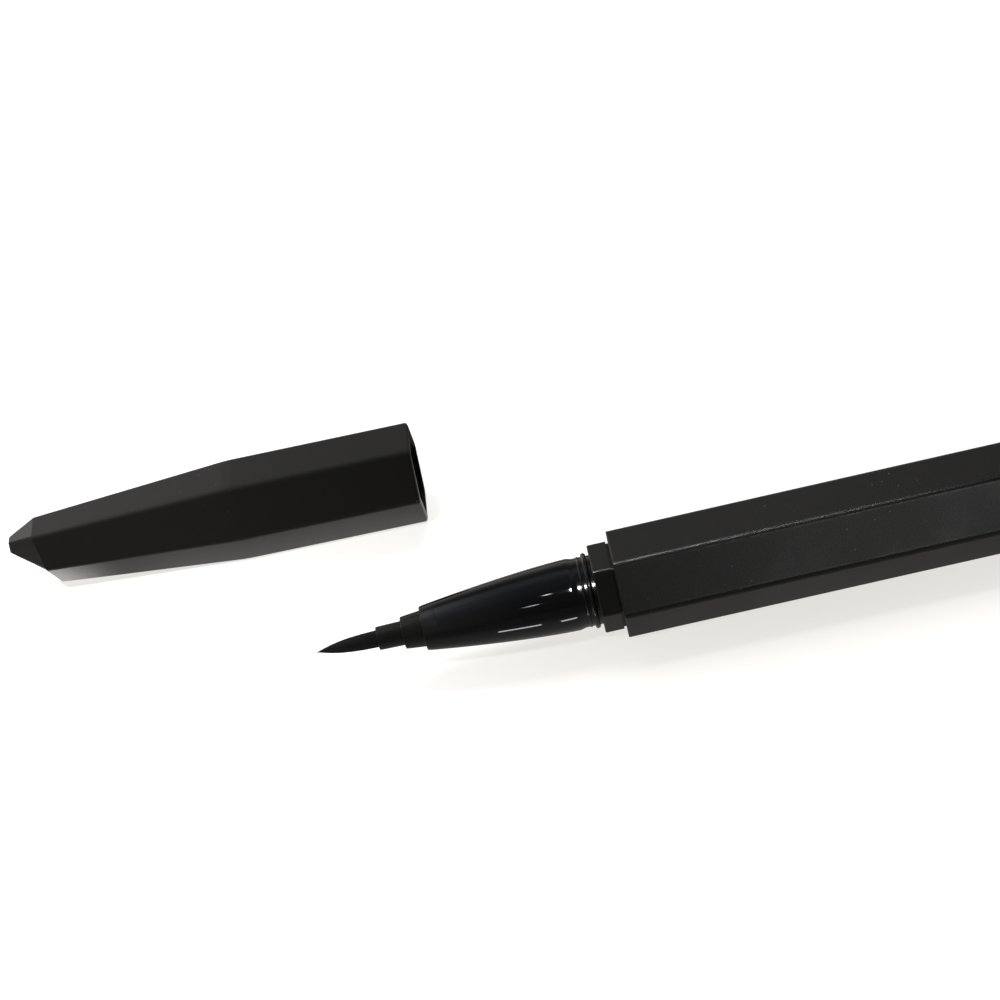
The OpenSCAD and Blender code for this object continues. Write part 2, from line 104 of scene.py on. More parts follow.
def camera_axes(heading, dip, roll):
    """Right, up and forward of a camera that turns, dips and then rolls."""
    flat_forward = Vector((math.sin(heading), math.cos(heading), 0))
    forward = flat_forward * math.cos(dip) - Vector((0, 0, math.sin(dip)))
    level_right = Vector((math.cos(heading), -math.sin(heading), 0))
    level_up = level_right.cross(forward)
    right = math.cos(roll) * level_right + math.sin(roll) * level_up
    up = -math.sin(roll) * level_right + math.cos(roll) * level_up
    return right, up, forward


def add_camera():
    data = bpy.data.cameras.new("camera")
    data.lens = CAMERA_LENS
    data.clip_start = 0.01
    data.clip_end = 20
    camera = bpy.data.objects.new("camera", data)
    bpy.context.scene.collection.objects.link(camera)
    right, up, forward = camera_axes(CAMERA_HEADING, CAMERA_DIP, CAMERA_ROLL)
    turn = Matrix((right, up, -forward)).transposed().to_4x4()
    camera.matrix_world = Matrix.Translation(CAMERA_PLACE) @ turn
    bpy.context.scene.camera = camera


add_camera()
bpy.context.scene.view_settings.view_transform = "Standard"
print("camera %.0f mm from the shoulder" % ((CAMERA_PLACE - along_pen(0)).length / MM))

# %% [markdown]
# Node trees are easier to read when each node is one line. These helpers add a node
# with its settings, set the plain values of its sockets, and join two sockets.

# %% Node helpers
def put(tree, kind, sockets=None, **settings):
    """Add a shader node, set its options, then its unconnected sockets by name or number."""
    node = tree.nodes.new("ShaderNode" + kind)
    for name, value in settings.items():
        setattr(node, name, value)
    for name, value in (sockets or {}).items():
        node.inputs[name].default_value = value
    return node


def join(tree, source, target):
    tree.links.new(source, target)


def calculate(tree, operation, first, second):
    """A Math node whose inputs may each be a socket or a number."""
    node = put(tree, "Math", operation=operation)
    for place, value in enumerate((first, second)):
        if isinstance(value, bpy.types.NodeSocket):
            join(tree, value, node.inputs[place])
        else:
            node.inputs[place].default_value = value
    return node.outputs[0]


def remap(tree, value, low, high, to_low=0.0, to_high=1.0):
    """A Map Range node with soft ends, from low..high to to_low..to_high."""
    limits = {"From Min": low, "From Max": high, "To Min": to_low, "To Max": to_high}
    node = put(tree, "MapRange", limits, interpolation_type="SMOOTHSTEP")
    join(tree, value, node.inputs["Value"])
    return node.outputs["Result"]


def noise(tree, place, size_mm, detail=2.0, contrast=0.5):
    """Noise whose blobs measure about size_mm."""
    settings = {"Scale": 1 / (size_mm * MM), "Detail": detail, "Roughness": contrast}
    node = put(tree, "TexNoise", settings)
    join(tree, place, node.inputs["Vector"])
    return node.outputs["Fac"]


# %% [markdown]
# The photograph has an overexposed white table that still keeps the grey shadow in front
# of the pen. A pale diffuse floor catches that shadow, and a glow that the camera sees
# lifts the rest to white. Black plastic mirrors the table too: hardly far in front, more
# close to the pen, and strongly round the cap's point, where the real table was brightest.
# So shiny rays meet a table painted dark, with painted pools of light that grow towards a
# few spots on it. Each spot is written as its middle, its reach to both sides, and its strength.

# %% Table
TABLE_GREY = (0.50, 0.498, 0.490, 1)
TABLE_GLOW = 0.735
TABLE_GLOW_TINT = (1.0, 0.975, 0.94, 1)
TABLE_GREY_MIRRORED = (0.06, 0.06, 0.06, 1)
TABLE_SIZE = 3
MIRRORED_EVERYWHERE = 0.035
# Pools of light painted on the table, which only reflections see.
PAINTED_LIGHT_SPOTS = (
    ((-80.0, 31.0), (48.0, 13.5), 1.30),
    ((-62.0, 27.0), (18.0, 10.0), 0.30),
    ((-113.0, 31.0), (18.0, 9.0), 12.0),
    ((-30.0, -2.0), (90.0, 16.0), 0.30),
    ((16.0, -20.0), (60.0, 36.0), 0.12),
)


def painted_light_spot(tree, place, middle, reach, level):
    """A soft oval spot of painted light: level in its middle, nothing beyond its reach, sizes in
    millimetres.
    """
    size = (reach[0] * MM, reach[1] * MM, 1)
    centred = put(tree, "Mapping", vector_type="TEXTURE",
                  sockets={"Location": (middle[0] * MM, middle[1] * MM, 0), "Scale": size})
    join(tree, place, centred.inputs["Vector"])
    distance = put(tree, "VectorMath", operation="LENGTH")
    join(tree, centred.outputs["Vector"], distance.inputs[0])
    return remap(tree, distance.outputs["Value"], 1.0, 0.0, 0.0, level)


def table_material():
    material = bpy.data.materials.new("table_white")
    material.use_nodes = True
    tree = material.node_tree
    tree.nodes.clear()
    path = put(tree, "LightPath")
    seen = calculate(tree, "MULTIPLY", path.outputs["Is Camera Ray"], TABLE_GLOW)
    shiny = calculate(tree, "MAXIMUM", path.outputs["Is Glossy Ray"],
                      path.outputs["Is Transmission Ray"])
    place = put(tree, "TexCoord").outputs["Object"]
    level = MIRRORED_EVERYWHERE
    for middle, reach, strength in PAINTED_LIGHT_SPOTS:
        level = calculate(tree, "ADD", painted_light_spot(tree, place, middle, reach, strength), level)
    # Painted reflected light: the glow that shiny rays see on the table.
    painted_reflected_light = calculate(tree, "MULTIPLY", shiny, level)
    glow = put(tree, "Emission", {"Color": TABLE_GLOW_TINT})
    join(tree, calculate(tree, "ADD", seen, painted_reflected_light), glow.inputs["Strength"])
    skin = put(tree, "BsdfDiffuse")
    grey = put(tree, "Mix", {6: TABLE_GREY, 7: TABLE_GREY_MIRRORED}, data_type="RGBA")
    join(tree, shiny, grey.inputs["Factor"])
    join(tree, grey.outputs[2], skin.inputs["Color"])
    both = put(tree, "AddShader")
    join(tree, skin.outputs[0], both.inputs[0])
    join(tree, glow.outputs[0], both.inputs[1])
    join(tree, both.outputs[0], put(tree, "OutputMaterial").inputs["Surface"])
    return material


def add_table():
    bpy.ops.mesh.primitive_plane_add(size=TABLE_SIZE)
    table = bpy.context.object
    table.name = "table_top"
    table.data.materials.append(table_material())


add_table()
print("table: %d spots that black plastic mirrors" % len(PAINTED_LIGHT_SPOTS))

# %% [markdown]
# Gloss shows the room, so the room is painted on the world: dark in front where the
# photographer stands, bright low behind the table, a dim band, and a cool wide softbox
# higher up. One ramp gives the brightness by height for the back, one for the front,
# and a soft step between them turns with the direction. The left side is lighter, darkens
# again towards its end, and there a faint wall glows that the cap's point shows. The
# camera itself sees plain white past the table's edge.

# %% Room
BACK_BY_HEIGHT = {0.0: 0.50, 0.30: 0.36, 0.46: 0.18, 0.62: 0.08,
                  0.74: 0.11, 0.82: 0.30, 0.92: 0.30, 1.0: 0.12}
FRONT_BY_HEIGHT = {0.0: 0.03, 0.30: 0.045, 0.60: 0.045, 0.85: 0.06, 1.0: 0.12}
WARM, COOL, WARM_UP_TO = (1.04, 1.0, 0.93), (0.92, 0.97, 1.0), 0.62
BACK_TO_FRONT = 0.25
LEFT_FROM, LEFT_TO, LEFT_OVER_RIGHT = -0.16, -0.38, 4.6
LEFT_END_FROM, LEFT_END_TO, LEFT_END_SHARE = -0.40, -0.70, 0.35
WALL_FROM, WALL_TO, WALL_GLOW = -0.72, -0.95, 0.22


def height_ramp(tree, height, levels):
    ramp = put(tree, "ValToRGB")
    points = ramp.color_ramp.elements
    for place in sorted(levels)[1:-1]:
        points.new(place)
    for point, (place, level) in zip(points, sorted(levels.items())):
        point.position = place
        point.color = (*(level * part for part in (WARM if place < WARM_UP_TO else COOL)), 1)
    join(tree, height, ramp.inputs["Fac"])
    return ramp.outputs["Color"]


def add_room():
    world = bpy.data.worlds.new("studio_room")
    bpy.context.scene.world = world
    world.use_nodes = True
    tree = world.node_tree
    split = put(tree, "SeparateXYZ")
    join(tree, put(tree, "TexCoord").outputs["Generated"], split.inputs[0])
    back = height_ramp(tree, split.outputs["Z"], BACK_BY_HEIGHT)
    front = height_ramp(tree, split.outputs["Z"], FRONT_BY_HEIGHT)
    mix = put(tree, "Mix", data_type="RGBA")
    join(tree, remap(tree, split.outputs["Y"], -BACK_TO_FRONT, BACK_TO_FRONT), mix.inputs["Factor"])
    join(tree, front, mix.inputs[6])
    join(tree, back, mix.inputs[7])
    side = split.outputs["X"]
    lighter_left = remap(tree, side, LEFT_FROM, LEFT_TO, 1.0, LEFT_OVER_RIGHT)
    darker_end = remap(tree, side, LEFT_END_FROM, LEFT_END_TO, 1.0, LEFT_END_SHARE)
    room = tree.nodes["Background"]
    join(tree, mix.outputs[2], room.inputs["Color"])
    join(tree, calculate(tree, "MULTIPLY", lighter_left, darker_end), room.inputs["Strength"])
    wall = put(tree, "Background", {"Color": (*WARM, 1)})
    join(tree, remap(tree, side, WALL_FROM, WALL_TO, 0.0, WALL_GLOW), wall.inputs["Strength"])
    both = put(tree, "AddShader")
    join(tree, room.outputs[0], both.inputs[0])
    join(tree, wall.outputs[0], both.inputs[1])
    white = put(tree, "Background", {"Color": (1, 1, 1, 1)})
    choice = put(tree, "MixShader")
    join(tree, put(tree, "LightPath").outputs["Is Camera Ray"], choice.inputs["Fac"])
    join(tree, both.outputs[0], choice.inputs[1])
    join(tree, white.outputs[0], choice.inputs[2])
    join(tree, choice.outputs[0], tree.nodes["World Output"].inputs["Surface"])


add_room()
print("room: %d heights behind, %d in front" % (len(BACK_BY_HEIGHT), len(FRONT_BY_HEIGHT)))

# %% [markdown]
# Two lamps light everything. A window-like panel behind, 55 degrees high, gives the soft
# shadow in front of the barrel. A pool of light from the front left fills the shadow of
# the cap. Both are hidden from glossy rays, because black plastic would show them as a
# grey veil; what gloss shows is the painted room.

# %% Lamp helpers
def aim(lamp, place, target):
    place, target = Vector(place) * MM, Vector(target) * MM
    turn = (target - place).to_track_quat("-Z", "Y").to_matrix().to_4x4()
    lamp.matrix_world = Matrix.Translation(place) @ turn


def add_lamp(name, kind, watts, place, target, glossy=True, **settings):
    data = bpy.data.lights.new(name, kind)
    data.energy = watts
    for key, value in settings.items():
        setattr(data, key, value)
    lamp = bpy.data.objects.new(name, data)
    bpy.context.scene.collection.objects.link(lamp)
    lamp.visible_camera = False
    lamp.visible_glossy = glossy
    aim(lamp, place, target)
    return lamp


def add_strip(name, start, end, width, brightness, target=None):
    """A straight strip of light between two places, in millimetres; without target it shines up."""
    start, end = Vector(start), Vector(end)
    middle = (start + end) / 2
    target = Vector(target) if target else middle + Vector((0, 0, 1))
    length = (end - start).length
    watts = brightness * math.pi * length * width * MM * MM
    lamp = add_lamp(name, "AREA", watts, middle, target, shape="RECTANGLE",
                    size=width * MM, size_y=length * MM)
    look = (target - middle).normalized()
    run = (end - start).normalized()
    run = (run - look * run.dot(look)).normalized()
    turn = Matrix((run.cross(-look), run, -look)).transposed().to_4x4()
    lamp.matrix_world = Matrix.Translation(middle * MM) @ turn
    return lamp


# %% Lamps for everything
add_lamp("window_panel", "AREA", 6.2, (-20, 560, 800), (-40, 0, 0), glossy=False,
         shape="RECTANGLE", size=0.6, size_y=0.5)
add_lamp("left_pool", "SPOT", 6.0, (-170, -180, 350), (-106, 10, 0), glossy=False,
         spot_size=math.radians(18), spot_blend=1.0, shadow_soft_size=0.03)

# %% [markdown]
# The photograph has a few hard accents: a thin line on the barrel's ridge, a row of beads
# on shoulder and ring, two dashes on the cone and, below them, two dashes that the table
# throws back. Each accent has its own lamp: a small spot for the ridge and for the sheen
# on the barrel's flat, and strips of light for the gloss. Such a lamp would also put a
# veil on the other parts, so it is linked to the pieces it is meant for, as a photographer
# would shade a lamp with a flag. The pieces join the collections further below.

# %% Accent lamps
ON_GLOSS = bpy.data.collections.new("lit_by_cone_accents")
ON_RIDGES = bpy.data.collections.new("lit_by_ridge_accent")
ON_BARREL = bpy.data.collections.new("lit_by_barrel_accent")


def only_on(lamp, pieces):
    lamp.light_linking.receiver_collection = pieces


def accent_spot(name, watts, place, target, angle, pieces, radius_mm):
    lamp = add_lamp(name, "SPOT", watts, place, target, spot_size=math.radians(angle),
                    spot_blend=1.0, shadow_soft_size=radius_mm * MM)
    only_on(lamp, pieces)


accent_spot("ridge_lamp_above", 3.1, (-60, -60, 600), (-33, -3, 9),
            angle=6.6, pieces=ON_RIDGES, radius_mm=6)
accent_spot("ridge_lamp_front", 1.25, (60, -560, 260), (12, -3, 8),
            angle=14.0, pieces=ON_BARREL, radius_mm=8)

# Each strip: name, start, end, width, brightness and, unless it shines up, its target.
GLOSS_STRIPS = (
    ("bead_lamp", (-46, -384, 469), (-46, -320, 515), 14, 420, (-46, -2.5, 7.6)),
    ("upper_tube", (-87.4, -150, 222.8), (-82.0, -150, 224.7), 13, 17, (-51, -3, 7)),
    ("side_tube", (-83.3, -150, 98.7), (-80.9, -150, 93.8), 7, 13, (-53, -3, 7)),
    ("low_gleam_front", (-58.3, -8.4, 0.1), (-53.4, -8.9, 0.1), 1.0, 10),
    ("low_gleam_back", (-51.0, -8.7, 0.1), (-48.8, -9.3, 0.1), 1.0, 10),
)
for strip in GLOSS_STRIPS:
    only_on(add_strip(*strip), ON_GLOSS)

# %% [markdown]
# Effects that several finishes share are node groups: built once, then placed in each
# material with its own values. A group gives out only masks, values and colours, and
# the shader stays in the material.

# %% Helper for shader groups
def new_group(name, inputs, outputs):
    """Empty group. inputs: name -> default, where None is a vector. outputs: names of values."""
    tree = bpy.data.node_groups.new(name, "ShaderNodeTree")
    for label, value in inputs.items():
        kind = "NodeSocketVector" if value is None else "NodeSocketFloat"
        socket = tree.interface.new_socket(label, in_out="INPUT", socket_type=kind)
        if value is not None:
            socket.default_value = value
    for label in outputs:
        tree.interface.new_socket(label, in_out="OUTPUT", socket_type="NodeSocketFloat")
    return tree, tree.nodes.new("NodeGroupInput"), tree.nodes.new("NodeGroupOutput")


def scaled_noise(tree, place, scale, detail):
    node = put(tree, "TexNoise", {"Detail": detail})
    join(tree, place, node.inputs["Vector"])
    join(tree, scale, node.inputs["Scale"])
    return node.outputs["Fac"]


# %% [markdown]
# Moulded plastic is never one flat tone. The tool leaves a fine grain, hands leave
# patches that are a little smoother, and dust settles as rare pale specks. The group
# `moulded_skin` gives the grain as a height, the patches as a roughness between two
# limits, and the specks as a mask.

# %% Group: moulded skin
DUST_SCALE = 900.0
DUST_SIZE = (0.10, 0.04)
DUST_PATCHES = (0.60, 0.70)


def make_moulded_skin():
    tree, start, end = new_group(
        "moulded_skin",
        {"Place": None, "Grain Scale": 8000.0, "Patch Scale": 90.0, "Smooth": 0.36, "Rough": 0.46},
        ["Height", "Roughness", "Specks"])
    grain = scaled_noise(tree, start.outputs["Place"], start.outputs["Grain Scale"], 3.0)
    patches = scaled_noise(tree, start.outputs["Place"], start.outputs["Patch Scale"], 4.0)
    spread = calculate(tree, "SUBTRACT", start.outputs["Rough"], start.outputs["Smooth"])
    share = remap(tree, patches, 0.35, 0.65)
    added = calculate(tree, "MULTIPLY", spread, share)
    roughness = calculate(tree, "ADD", start.outputs["Smooth"], added)
    dots = put(tree, "TexVoronoi", {"Scale": DUST_SCALE}, feature="F1")
    join(tree, start.outputs["Place"], dots.inputs["Vector"])
    near = remap(tree, dots.outputs["Distance"], *DUST_SIZE)
    drifts = scaled_noise(tree, start.outputs["Place"], start.outputs["Patch Scale"], 0.0)
    chosen = remap(tree, drifts, *DUST_PATCHES)
    join(tree, grain, end.inputs["Height"])
    join(tree, roughness, end.inputs["Roughness"])
    join(tree, calculate(tree, "MULTIPLY", near, chosen), end.inputs["Specks"])
    return tree


MOULDED_SKIN = make_moulded_skin()

# %% [markdown]
# Barrel and cap are six-sided, and their rounded ridges get rubbed smoother than the flats
# and are painted a little lighter, partly as wear and partly as a painted sheen. How far a
# place is from the axis, compared with half the width across the flats, tells ridge from
# flat, so the ridge group needs only the place across the axis and that half width. Noise
# breaks the rub and the painted sheen into patches.

# %% Group: rubbed ridges
RIDGE_STARTS = 1.095
RIDGE_FULL = 1.128


def make_edge_wear_and_sheen():
    tree, start, end = new_group("ridge_wear_and_sheen", {"Place": None, "Half Width": 0.005}, ["Rub"])
    split = put(tree, "SeparateXYZ")
    join(tree, start.outputs["Place"], split.inputs[0])
    across = put(tree, "CombineXYZ")
    join(tree, split.outputs["Y"], across.inputs["Y"])
    join(tree, split.outputs["Z"], across.inputs["Z"])
    radius = put(tree, "VectorMath", operation="LENGTH")
    join(tree, across.outputs[0], radius.inputs[0])
    share = calculate(tree, "DIVIDE", radius.outputs["Value"], start.outputs["Half Width"])
    ridge = remap(tree, share, RIDGE_STARTS, RIDGE_FULL)
    worn = noise(tree, start.outputs["Place"], size_mm=1.6, detail=5.0, contrast=0.6)
    broken = remap(tree, worn, 0.38, 0.62, 0.25, 1.0)
    join(tree, calculate(tree, "MULTIPLY", ridge, broken), end.inputs["Rub"])
    return tree


RIDGE_WEAR_SHEEN_GROUP = make_edge_wear_and_sheen()

# %% [markdown]
# Fibres and drawn wire have fine lines along their length. The group `long_lines`
# stretches noise along X, so the same lines serve brush, felt core and wire.

# %% Group: long lines
def make_long_lines():
    tree, start, end = new_group(
        "long_lines", {"Place": None, "Line Scale": 9000.0, "Stretch": 0.04}, ["Lines"])
    scale = put(tree, "CombineXYZ", {"Y": 1.0, "Z": 1.0})
    join(tree, start.outputs["Stretch"], scale.inputs["X"])
    stretched = put(tree, "VectorMath", operation="MULTIPLY")
    join(tree, start.outputs["Place"], stretched.inputs[0])
    join(tree, scale.outputs[0], stretched.inputs[1])
    lines = scaled_noise(tree, stretched.outputs[0], start.outputs["Line Scale"], 2.0)
    join(tree, lines, end.inputs["Lines"])
    return tree


LONG_LINES = make_long_lines()
print("shader groups:", [g.name for g in bpy.data.node_groups])

# %% [markdown]
# Each finish starts from the same few lines: a material with its shader, the object
# coordinates in metres, and a bump that turns a height into a normal.

# %% Material helpers
def new_material(name, **sockets):
    """Material with a Principled shader whose plain values are set by socket name."""
    material = bpy.data.materials.new(name)
    material.use_nodes = True
    tree = material.node_tree
    shader = tree.nodes["Principled BSDF"]
    for label, value in sockets.items():
        shader.inputs[label.replace("_", " ")].default_value = value
    return material, tree, shader


def object_place(tree):
    return put(tree, "TexCoord").outputs["Object"]


def use_group(tree, group, place, **sockets):
    node = put(tree, "Group", node_tree=group)
    join(tree, place, node.inputs["Place"])
    for label, value in sockets.items():
        node.inputs[label.replace("_", " ")].default_value = value
    return node.outputs


def bump(tree, shader, height, depth_mm, strength=1.0):
    node = put(tree, "Bump", {"Strength": strength, "Distance": depth_mm * MM})
    join(tree, height, node.inputs["Height"])
    join(tree, node.outputs["Normal"], shader.inputs["Normal"])


def mix_colour(tree, share, first, second):
    """Colour between two; each may be a colour or a socket."""
    node = put(tree, "Mix", data_type="RGBA")
    join(tree, share, node.inputs["Factor"])
    for place, value in ((6, first), (7, second)):
        if isinstance(value, bpy.types.NodeSocket):
            join(tree, value, node.inputs[place])
        else:
            node.inputs[place].default_value = (*value, 1)
    return node.outputs[2]


# %% [markdown]
# Satin black is the finish of barrel, collar, tail and cap: a dark neutral plastic with
# a spark-eroded grain. The upper ridges are rubbed smoother and painted lighter, partly
# as wear and partly as a painted sheen; the lower ones hardly. Because the cap lies turned
# and tapers, its pattern is centred on its own axis, and its half width shrinks along the taper.

# %% Satin black
SATIN_BLACK = (0.0085, 0.0082, 0.0076)
# Lighter ridge colour: partly wear, partly a painted sheen on the upper ridges.
SATIN_RIDGE_WEAR_AND_SHEEN = (0.018, 0.0175, 0.0165)
DUST = (0.20, 0.19, 0.18)
WEAR_SHEEN_RISES = (-2.5, -0.5)
WEAR_SHEEN_BELOW = 0.15
RUB_SMOOTHER = -0.15


def satin_black(name, axis_place, axis_turn, half_width_of, ridge_sheen_share):
    """Satin plastic whose ridges, found by the half width, get wear and a painted sheen to a share.
    """
    material, tree, shader = new_material(name)
    centred = put(tree, "Mapping", vector_type="TEXTURE",
                  sockets={"Location": axis_place, "Rotation": (0, 0, axis_turn)})
    join(tree, object_place(tree), centred.inputs["Vector"])
    place = centred.outputs["Vector"]
    skin = use_group(tree, MOULDED_SKIN, place,
                     Grain_Scale=7000.0, Patch_Scale=110.0, Smooth=0.40, Rough=0.44)
    ridge = put(tree, "Group", node_tree=RIDGE_WEAR_SHEEN_GROUP)
    join(tree, place, ridge.inputs["Place"])
    half_width_of(tree, place, ridge.inputs["Half Width"])
    split = put(tree, "SeparateXYZ")
    join(tree, place, split.inputs[0])
    low, high = WEAR_SHEEN_RISES
    upper = remap(tree, split.outputs["Z"], low * MM, high * MM, WEAR_SHEEN_BELOW, 1.0)
    wanted = calculate(tree, "MULTIPLY", upper, ridge_sheen_share)
    wear_and_painted_sheen = calculate(tree, "MULTIPLY", ridge.outputs["Rub"], wanted)
    # Ridges painted lighter here, partly as wear and partly as a painted sheen.
    colour = mix_colour(tree, calculate(tree, "MULTIPLY", wear_and_painted_sheen, 0.5), SATIN_BLACK, SATIN_RIDGE_WEAR_AND_SHEEN)
    colour = mix_colour(tree, calculate(tree, "MULTIPLY", skin["Specks"], 0.5), colour, DUST)
    join(tree, colour, shader.inputs["Base Color"])
    smoother = calculate(tree, "MULTIPLY", wear_and_painted_sheen, RUB_SMOOTHER)
    join(tree, calculate(tree, "ADD", skin["Roughness"], smoother), shader.inputs["Roughness"])
    bump(tree, shader, skin["Height"], depth_mm=0.02, strength=0.6)
    return material


# %% Satin black for barrel, collar and cap
def constant_half_width(half_mm):
    def set_width(tree, place, socket):
        socket.default_value = half_mm * MM
    return set_width


CAP_STRAIGHT, CAP_BREAK = 20.8, 42.6
CAP_HALF, CAP_BREAK_HALF = 5.0, 3.45


def cap_half_width(tree, place, socket):
    """Half width of the cap along its taper, from the mouth (x = 0) to the break."""
    split = put(tree, "SeparateXYZ")
    join(tree, place, split.inputs[0])
    limits = {"From Min": -CAP_STRAIGHT * MM, "From Max": -CAP_BREAK * MM,
              "To Min": CAP_HALF * MM, "To Max": CAP_BREAK_HALF * MM}
    node = put(tree, "MapRange", limits)
    join(tree, split.outputs["X"], node.inputs["Value"])
    join(tree, node.outputs["Result"], socket)


PEN_START = tuple(along_pen(0))
BARREL_HALF, COLLAR_HALF = 5.0, 4.1
barrel_satin = satin_black("satin_black_barrel", PEN_START, 0.0,
                           constant_half_width(BARREL_HALF), ridge_sheen_share=1.0)
collar_satin = satin_black("satin_black_collar", PEN_START, 0.0,
                           constant_half_width(COLLAR_HALF), ridge_sheen_share=1.0)
cap_satin = satin_black("satin_black_cap", tuple(CAP_MOUTH), CAP_YAW,
                        cap_half_width, ridge_sheen_share=0.25)
print("satin finishes:", barrel_satin.name, collar_satin.name, cap_satin.name)

# %% [markdown]
# The cone is polished black: almost no colour of its own, so all one sees is the room
# in it. Very faint waves from the moulding keep the reflections from looking drawn with
# a ruler. Its front lip, where the holder enters, was left satin by the tool, and the
# saddle with the ring is a little less polished than the flank.

# %% Gloss black with a satin lip
GLOSS_BLACK = (0.0030, 0.0031, 0.0036)
LIP_BLACK = (0.0038, 0.0038, 0.0040)
LIP_END, LIP_SOFT, LIP_ROUGHER = -19.0, 0.04, 0.14
SADDLE_FROM, SADDLE_TO, SADDLE_ROUGHER = -4.9, -4.6, 0.10


def gloss_black():
    material, tree, shader = new_material("gloss_black_cone")
    place = object_place(tree)
    split = put(tree, "SeparateXYZ")
    join(tree, place, split.inputs[0])
    edge = along_pen(LIP_END).x
    lip = remap(tree, split.outputs["X"], edge + LIP_SOFT * MM, edge - LIP_SOFT * MM)
    skin = use_group(tree, MOULDED_SKIN, place,
                     Grain_Scale=6000.0, Patch_Scale=160.0, Smooth=0.035, Rough=0.075)
    join(tree, mix_colour(tree, lip, GLOSS_BLACK, LIP_BLACK), shader.inputs["Base Color"])
    satin = calculate(tree, "MULTIPLY", lip, LIP_ROUGHER)
    saddle = remap(tree, split.outputs["X"], along_pen(SADDLE_FROM).x, along_pen(SADDLE_TO).x,
                   0.0, SADDLE_ROUGHER)
    satin = calculate(tree, "ADD", satin, saddle)
    join(tree, calculate(tree, "ADD", skin["Roughness"], satin), shader.inputs["Roughness"])
    waves = noise(tree, place, size_mm=2.2, detail=1.0)
    bump(tree, shader, waves, depth_mm=0.01, strength=0.12)
    return material


cone_gloss = gloss_black()
print("cone finish:", cone_gloss.name)

# %% [markdown]
# Holder and sleeve are small turned-looking mouldings. Rings run round them: noise that
# is long across the axis and short along it. They are a touch greyer than the cone.

# %% Nib plastic
NIB_PLASTIC = (0.0060, 0.0058, 0.0056)
NIB_RING_LIGHTER = 1.25


def lighter(colour, times):
    return tuple(times * part for part in colour)


def nib_plastic():
    material, tree, shader = new_material("nib_sleeve_plastic")
    place = object_place(tree)
    rings = use_group(tree, LONG_LINES, place, Line_Scale=900.0, Stretch=14.0)
    skin = use_group(tree, MOULDED_SKIN, place,
                     Grain_Scale=9000.0, Patch_Scale=400.0, Smooth=0.32, Rough=0.44)
    tone = remap(tree, rings["Lines"], 0.3, 0.7)
    colour = mix_colour(tree, tone, NIB_PLASTIC, lighter(NIB_PLASTIC, NIB_RING_LIGHTER))
    join(tree, colour, shader.inputs["Base Color"])
    join(tree, skin["Roughness"], shader.inputs["Roughness"])
    bump(tree, shader, rings["Lines"], depth_mm=0.01, strength=0.35)
    return material


sleeve_plastic = nib_plastic()
print("holder and sleeve finish:", sleeve_plastic.name)

# %% [markdown]
# The brush is soaked with ink: the filaments are black and wet, with slightly lighter
# lines here and there along them.

# %% Brush filaments
INK_BLACK = (0.0075, 0.0075, 0.0085)
INK_LINE_LIGHTER = 2.2


def brush_filament():
    material, tree, shader = new_material("brush_filament")
    lines = use_group(tree, LONG_LINES, object_place(tree), Line_Scale=12000.0, Stretch=0.03)
    share = remap(tree, lines["Lines"], 0.42, 0.72)
    colour = mix_colour(tree, share, INK_BLACK, lighter(INK_BLACK, INK_LINE_LIGHTER))
    join(tree, colour, shader.inputs["Base Color"])
    join(tree, remap(tree, lines["Lines"], 0.3, 0.7, 0.34, 0.48), shader.inputs["Roughness"])
    bump(tree, shader, lines["Lines"], depth_mm=0.01, strength=0.4)
    return material


inked_filament = brush_filament()
print("brush finish:", inked_filament.name)

# %% [markdown]
# Inside the pen nothing shows from outside, but a later view may open it, so the inner
# parts are finished too: bonded fibre, natural plastic, soft rubber, polished steel and
# drawn wire. Cloudy natural plastic is made with transmission and a rough surface.

# %% Inner finishes: fibre and natural plastic
FELT_TONES = (0.035, 0.035, 0.038), (0.075, 0.074, 0.072)
COLLECTOR_TONES = (0.72, 0.72, 0.69), (0.58, 0.58, 0.56)
TANK_TONES = (0.74, 0.77, 0.78), (0.70, 0.73, 0.75)


def felt_fibre():
    material, tree, shader = new_material("feed_fibre")
    lines = use_group(tree, LONG_LINES, object_place(tree), Line_Scale=7000.0, Stretch=0.05)
    share = remap(tree, lines["Lines"], 0.35, 0.65)
    join(tree, mix_colour(tree, share, *FELT_TONES), shader.inputs["Base Color"])
    join(tree, remap(tree, lines["Lines"], 0.3, 0.7, 0.75, 0.95), shader.inputs["Roughness"])
    bump(tree, shader, lines["Lines"], depth_mm=0.03, strength=0.8)
    return material


def natural_plastic(name, tones, transmission, smooth, rough):
    material, tree, shader = new_material(name, Transmission_Weight=transmission)
    place = object_place(tree)
    skin = use_group(tree, MOULDED_SKIN, place,
                     Grain_Scale=5000.0, Patch_Scale=260.0, Smooth=smooth, Rough=rough)
    clouds = remap(tree, noise(tree, place, size_mm=3.0, detail=4.0), 0.4, 0.7)
    join(tree, mix_colour(tree, clouds, *tones), shader.inputs["Base Color"])
    join(tree, skin["Roughness"], shader.inputs["Roughness"])
    bump(tree, shader, skin["Height"], depth_mm=0.01, strength=0.4)
    return material


# %% Inner finishes: rubber and steel
RUBBER_TONES = (0.070, 0.070, 0.078), (0.095, 0.095, 0.10)
STEEL_TONES = (0.66, 0.67, 0.69), (0.74, 0.75, 0.77)


